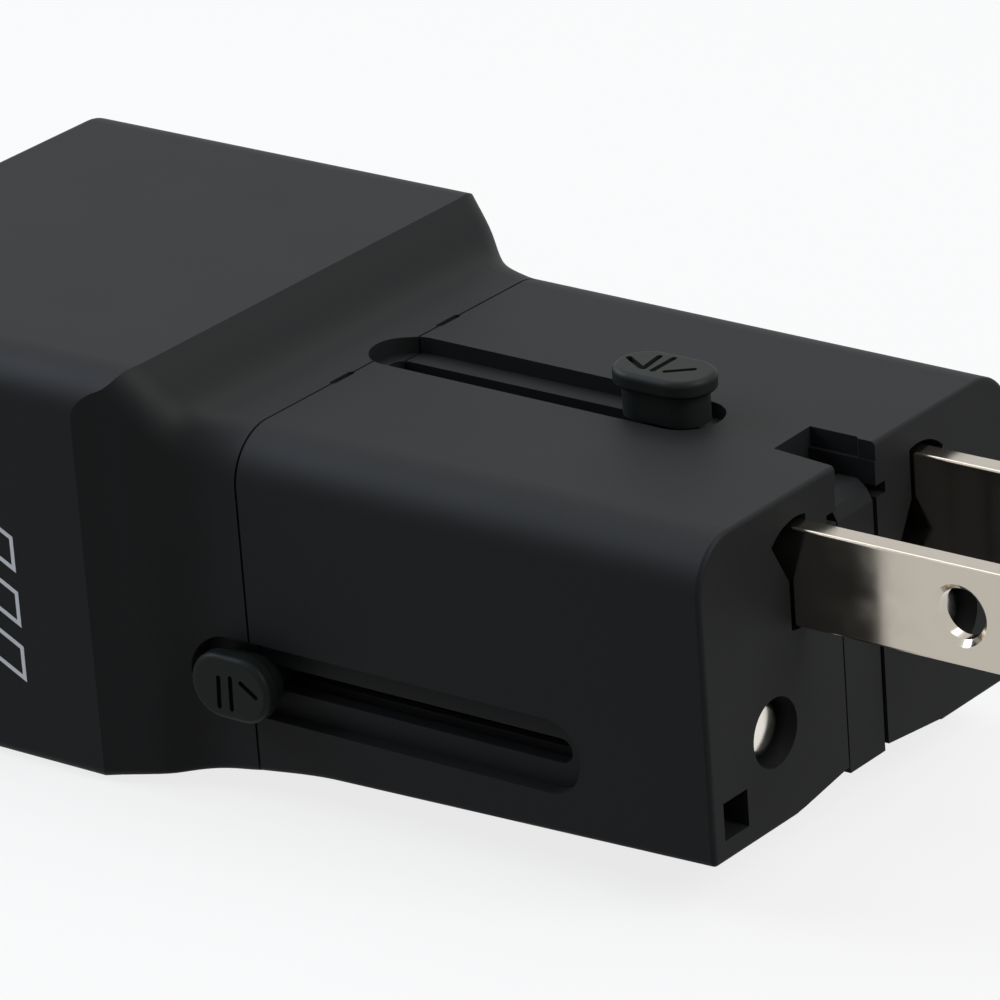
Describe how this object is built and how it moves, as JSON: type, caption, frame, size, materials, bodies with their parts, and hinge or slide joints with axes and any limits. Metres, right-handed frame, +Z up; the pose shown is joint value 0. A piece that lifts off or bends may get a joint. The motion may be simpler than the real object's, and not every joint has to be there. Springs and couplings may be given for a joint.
{
  "type": "usb travel charger",
  "caption": "Compact mains travel charger: a boxy head with charging ports, a flared neck and a plug block with sliding flat blades, round pins and a folding centre pin.",
  "frame": {"origin": "centre of the head's flat underside", "axes": "+X the way the plug pins leave, +Z up, -Y the face with the side slider"},
  "size_m": [0.0906, 0.0384, 0.0271],
  "materials": {
    "casing_plastic": "fine matte moulded texture",
    "carrier_plastic": "matte moulded",
    "nickel_plate": "nickel plated brass, fine ground",
    "steel": "bright steel",
    "contact_brass": "tinned brass strip",
    "circuit_board": "green solder mask",
    "ferrite": "sintered, dull",
    "winding_tape": "yellow tape and resin",
    "can_aluminium": "sleeved can, satin sheet",
    "port_plastic": "moulded",
    "chip_epoxy": "moulded epoxy",
    "lead_insulation": "soft insulation"
  },
  "bodies": {
    "casing": {"board_screws": "steel", "bulk_capacitors": "can_aluminium", "common_mode_choke": "ferrite", "detent_springs": "steel", "folding_pin_axle": "steel", "fuse_link": "chip_epoxy", "head_shell": "casing_plastic", "heat_spreader": "can_aluminium", "main_board": "circuit_board", "mains_barrier": "carrier_plastic", "mains_leads": "lead_insulation", "mains_strips": "contact_brass", "output_capacitors": "can_aluminium", "plug_casing": "casing_plastic", "plug_chassis": "carrier_plastic", "port_board": "circuit_board", "power_chips": "chip_epoxy", "rear_panel": "casing_plastic", "transformer_core": "ferrite", "transformer_winding": "winding_tape", "usb_a_shell": "steel", "usb_a_tongue": "port_plastic", "usb_c_shells": "steel", "usb_c_tongues": "port_plastic", "x_capacitor": "winding_tape"},
    "us_carriage": {"us_carriage": "carrier_plastic", "us_slide_contacts": "contact_brass", "us_button_spring": "steel"},
    "us_button": {"us_button": "casing_plastic"},
    "blade_left": {"blade_left": "nickel_plate", "blade_drum_left": "carrier_plastic"},
    "blade_right": {"blade_right": "nickel_plate", "blade_drum_right": "carrier_plastic"},
    "eu_carriage": {"eu_carriage": "carrier_plastic", "eu_pin_left": "nickel_plate", "eu_pin_right": "nickel_plate", "eu_pin_sleeves": "carrier_plastic", "eu_slide_contacts": "contact_brass", "eu_button_spring": "steel"},
    "eu_button": {"eu_button": "casing_plastic"},
    "folding_pin": {"folding_pin": "casing_plastic"}
  },
  "joints": [
    {"name": "us_carriage_slide", "type": "slide", "parent": "casing", "child": "us_carriage", "axis": [1, 0, 0], "range_m": [-0.0183, 0]},
    {"name": "us_button_press", "type": "slide", "parent": "us_carriage", "child": "us_button", "axis": [0, 0, -1], "range_m": [0, 0.0006], "stiffness_N_per_m": 2000, "springref_m": -0.0005, "deforming": ["us_button_spring"]},
    {"name": "blade_left_twist", "type": "hinge", "parent": "us_carriage", "child": "blade_left", "pos_m": [0.0536, -0.00635, 0.01845], "axis": [1, 0, 0], "range_deg": [0, 30]},
    {"name": "blade_right_twist", "type": "hinge", "parent": "us_carriage", "child": "blade_right", "pos_m": [0.0536, 0.00635, 0.01845], "axis": [-1, 0, 0], "range_deg": [0, 30]},
    {"name": "eu_carriage_slide", "type": "slide", "parent": "casing", "child": "eu_carriage", "axis": [1, 0, 0], "range_m": [0, 0.0201]},
    {"name": "eu_button_press", "type": "slide", "parent": "eu_carriage", "child": "eu_button", "axis": [0, 1, 0], "range_m": [0, 0.0006], "stiffness_N_per_m": 2000, "springref_m": -0.0005},
    {"name": "folding_pin_hinge", "type": "hinge", "parent": "casing", "child": "folding_pin", "pos_m": [0.0571, -0.00028, 0.0205], "axis": [0, -1, 0], "range_deg": [0, 90]}
  ]
}
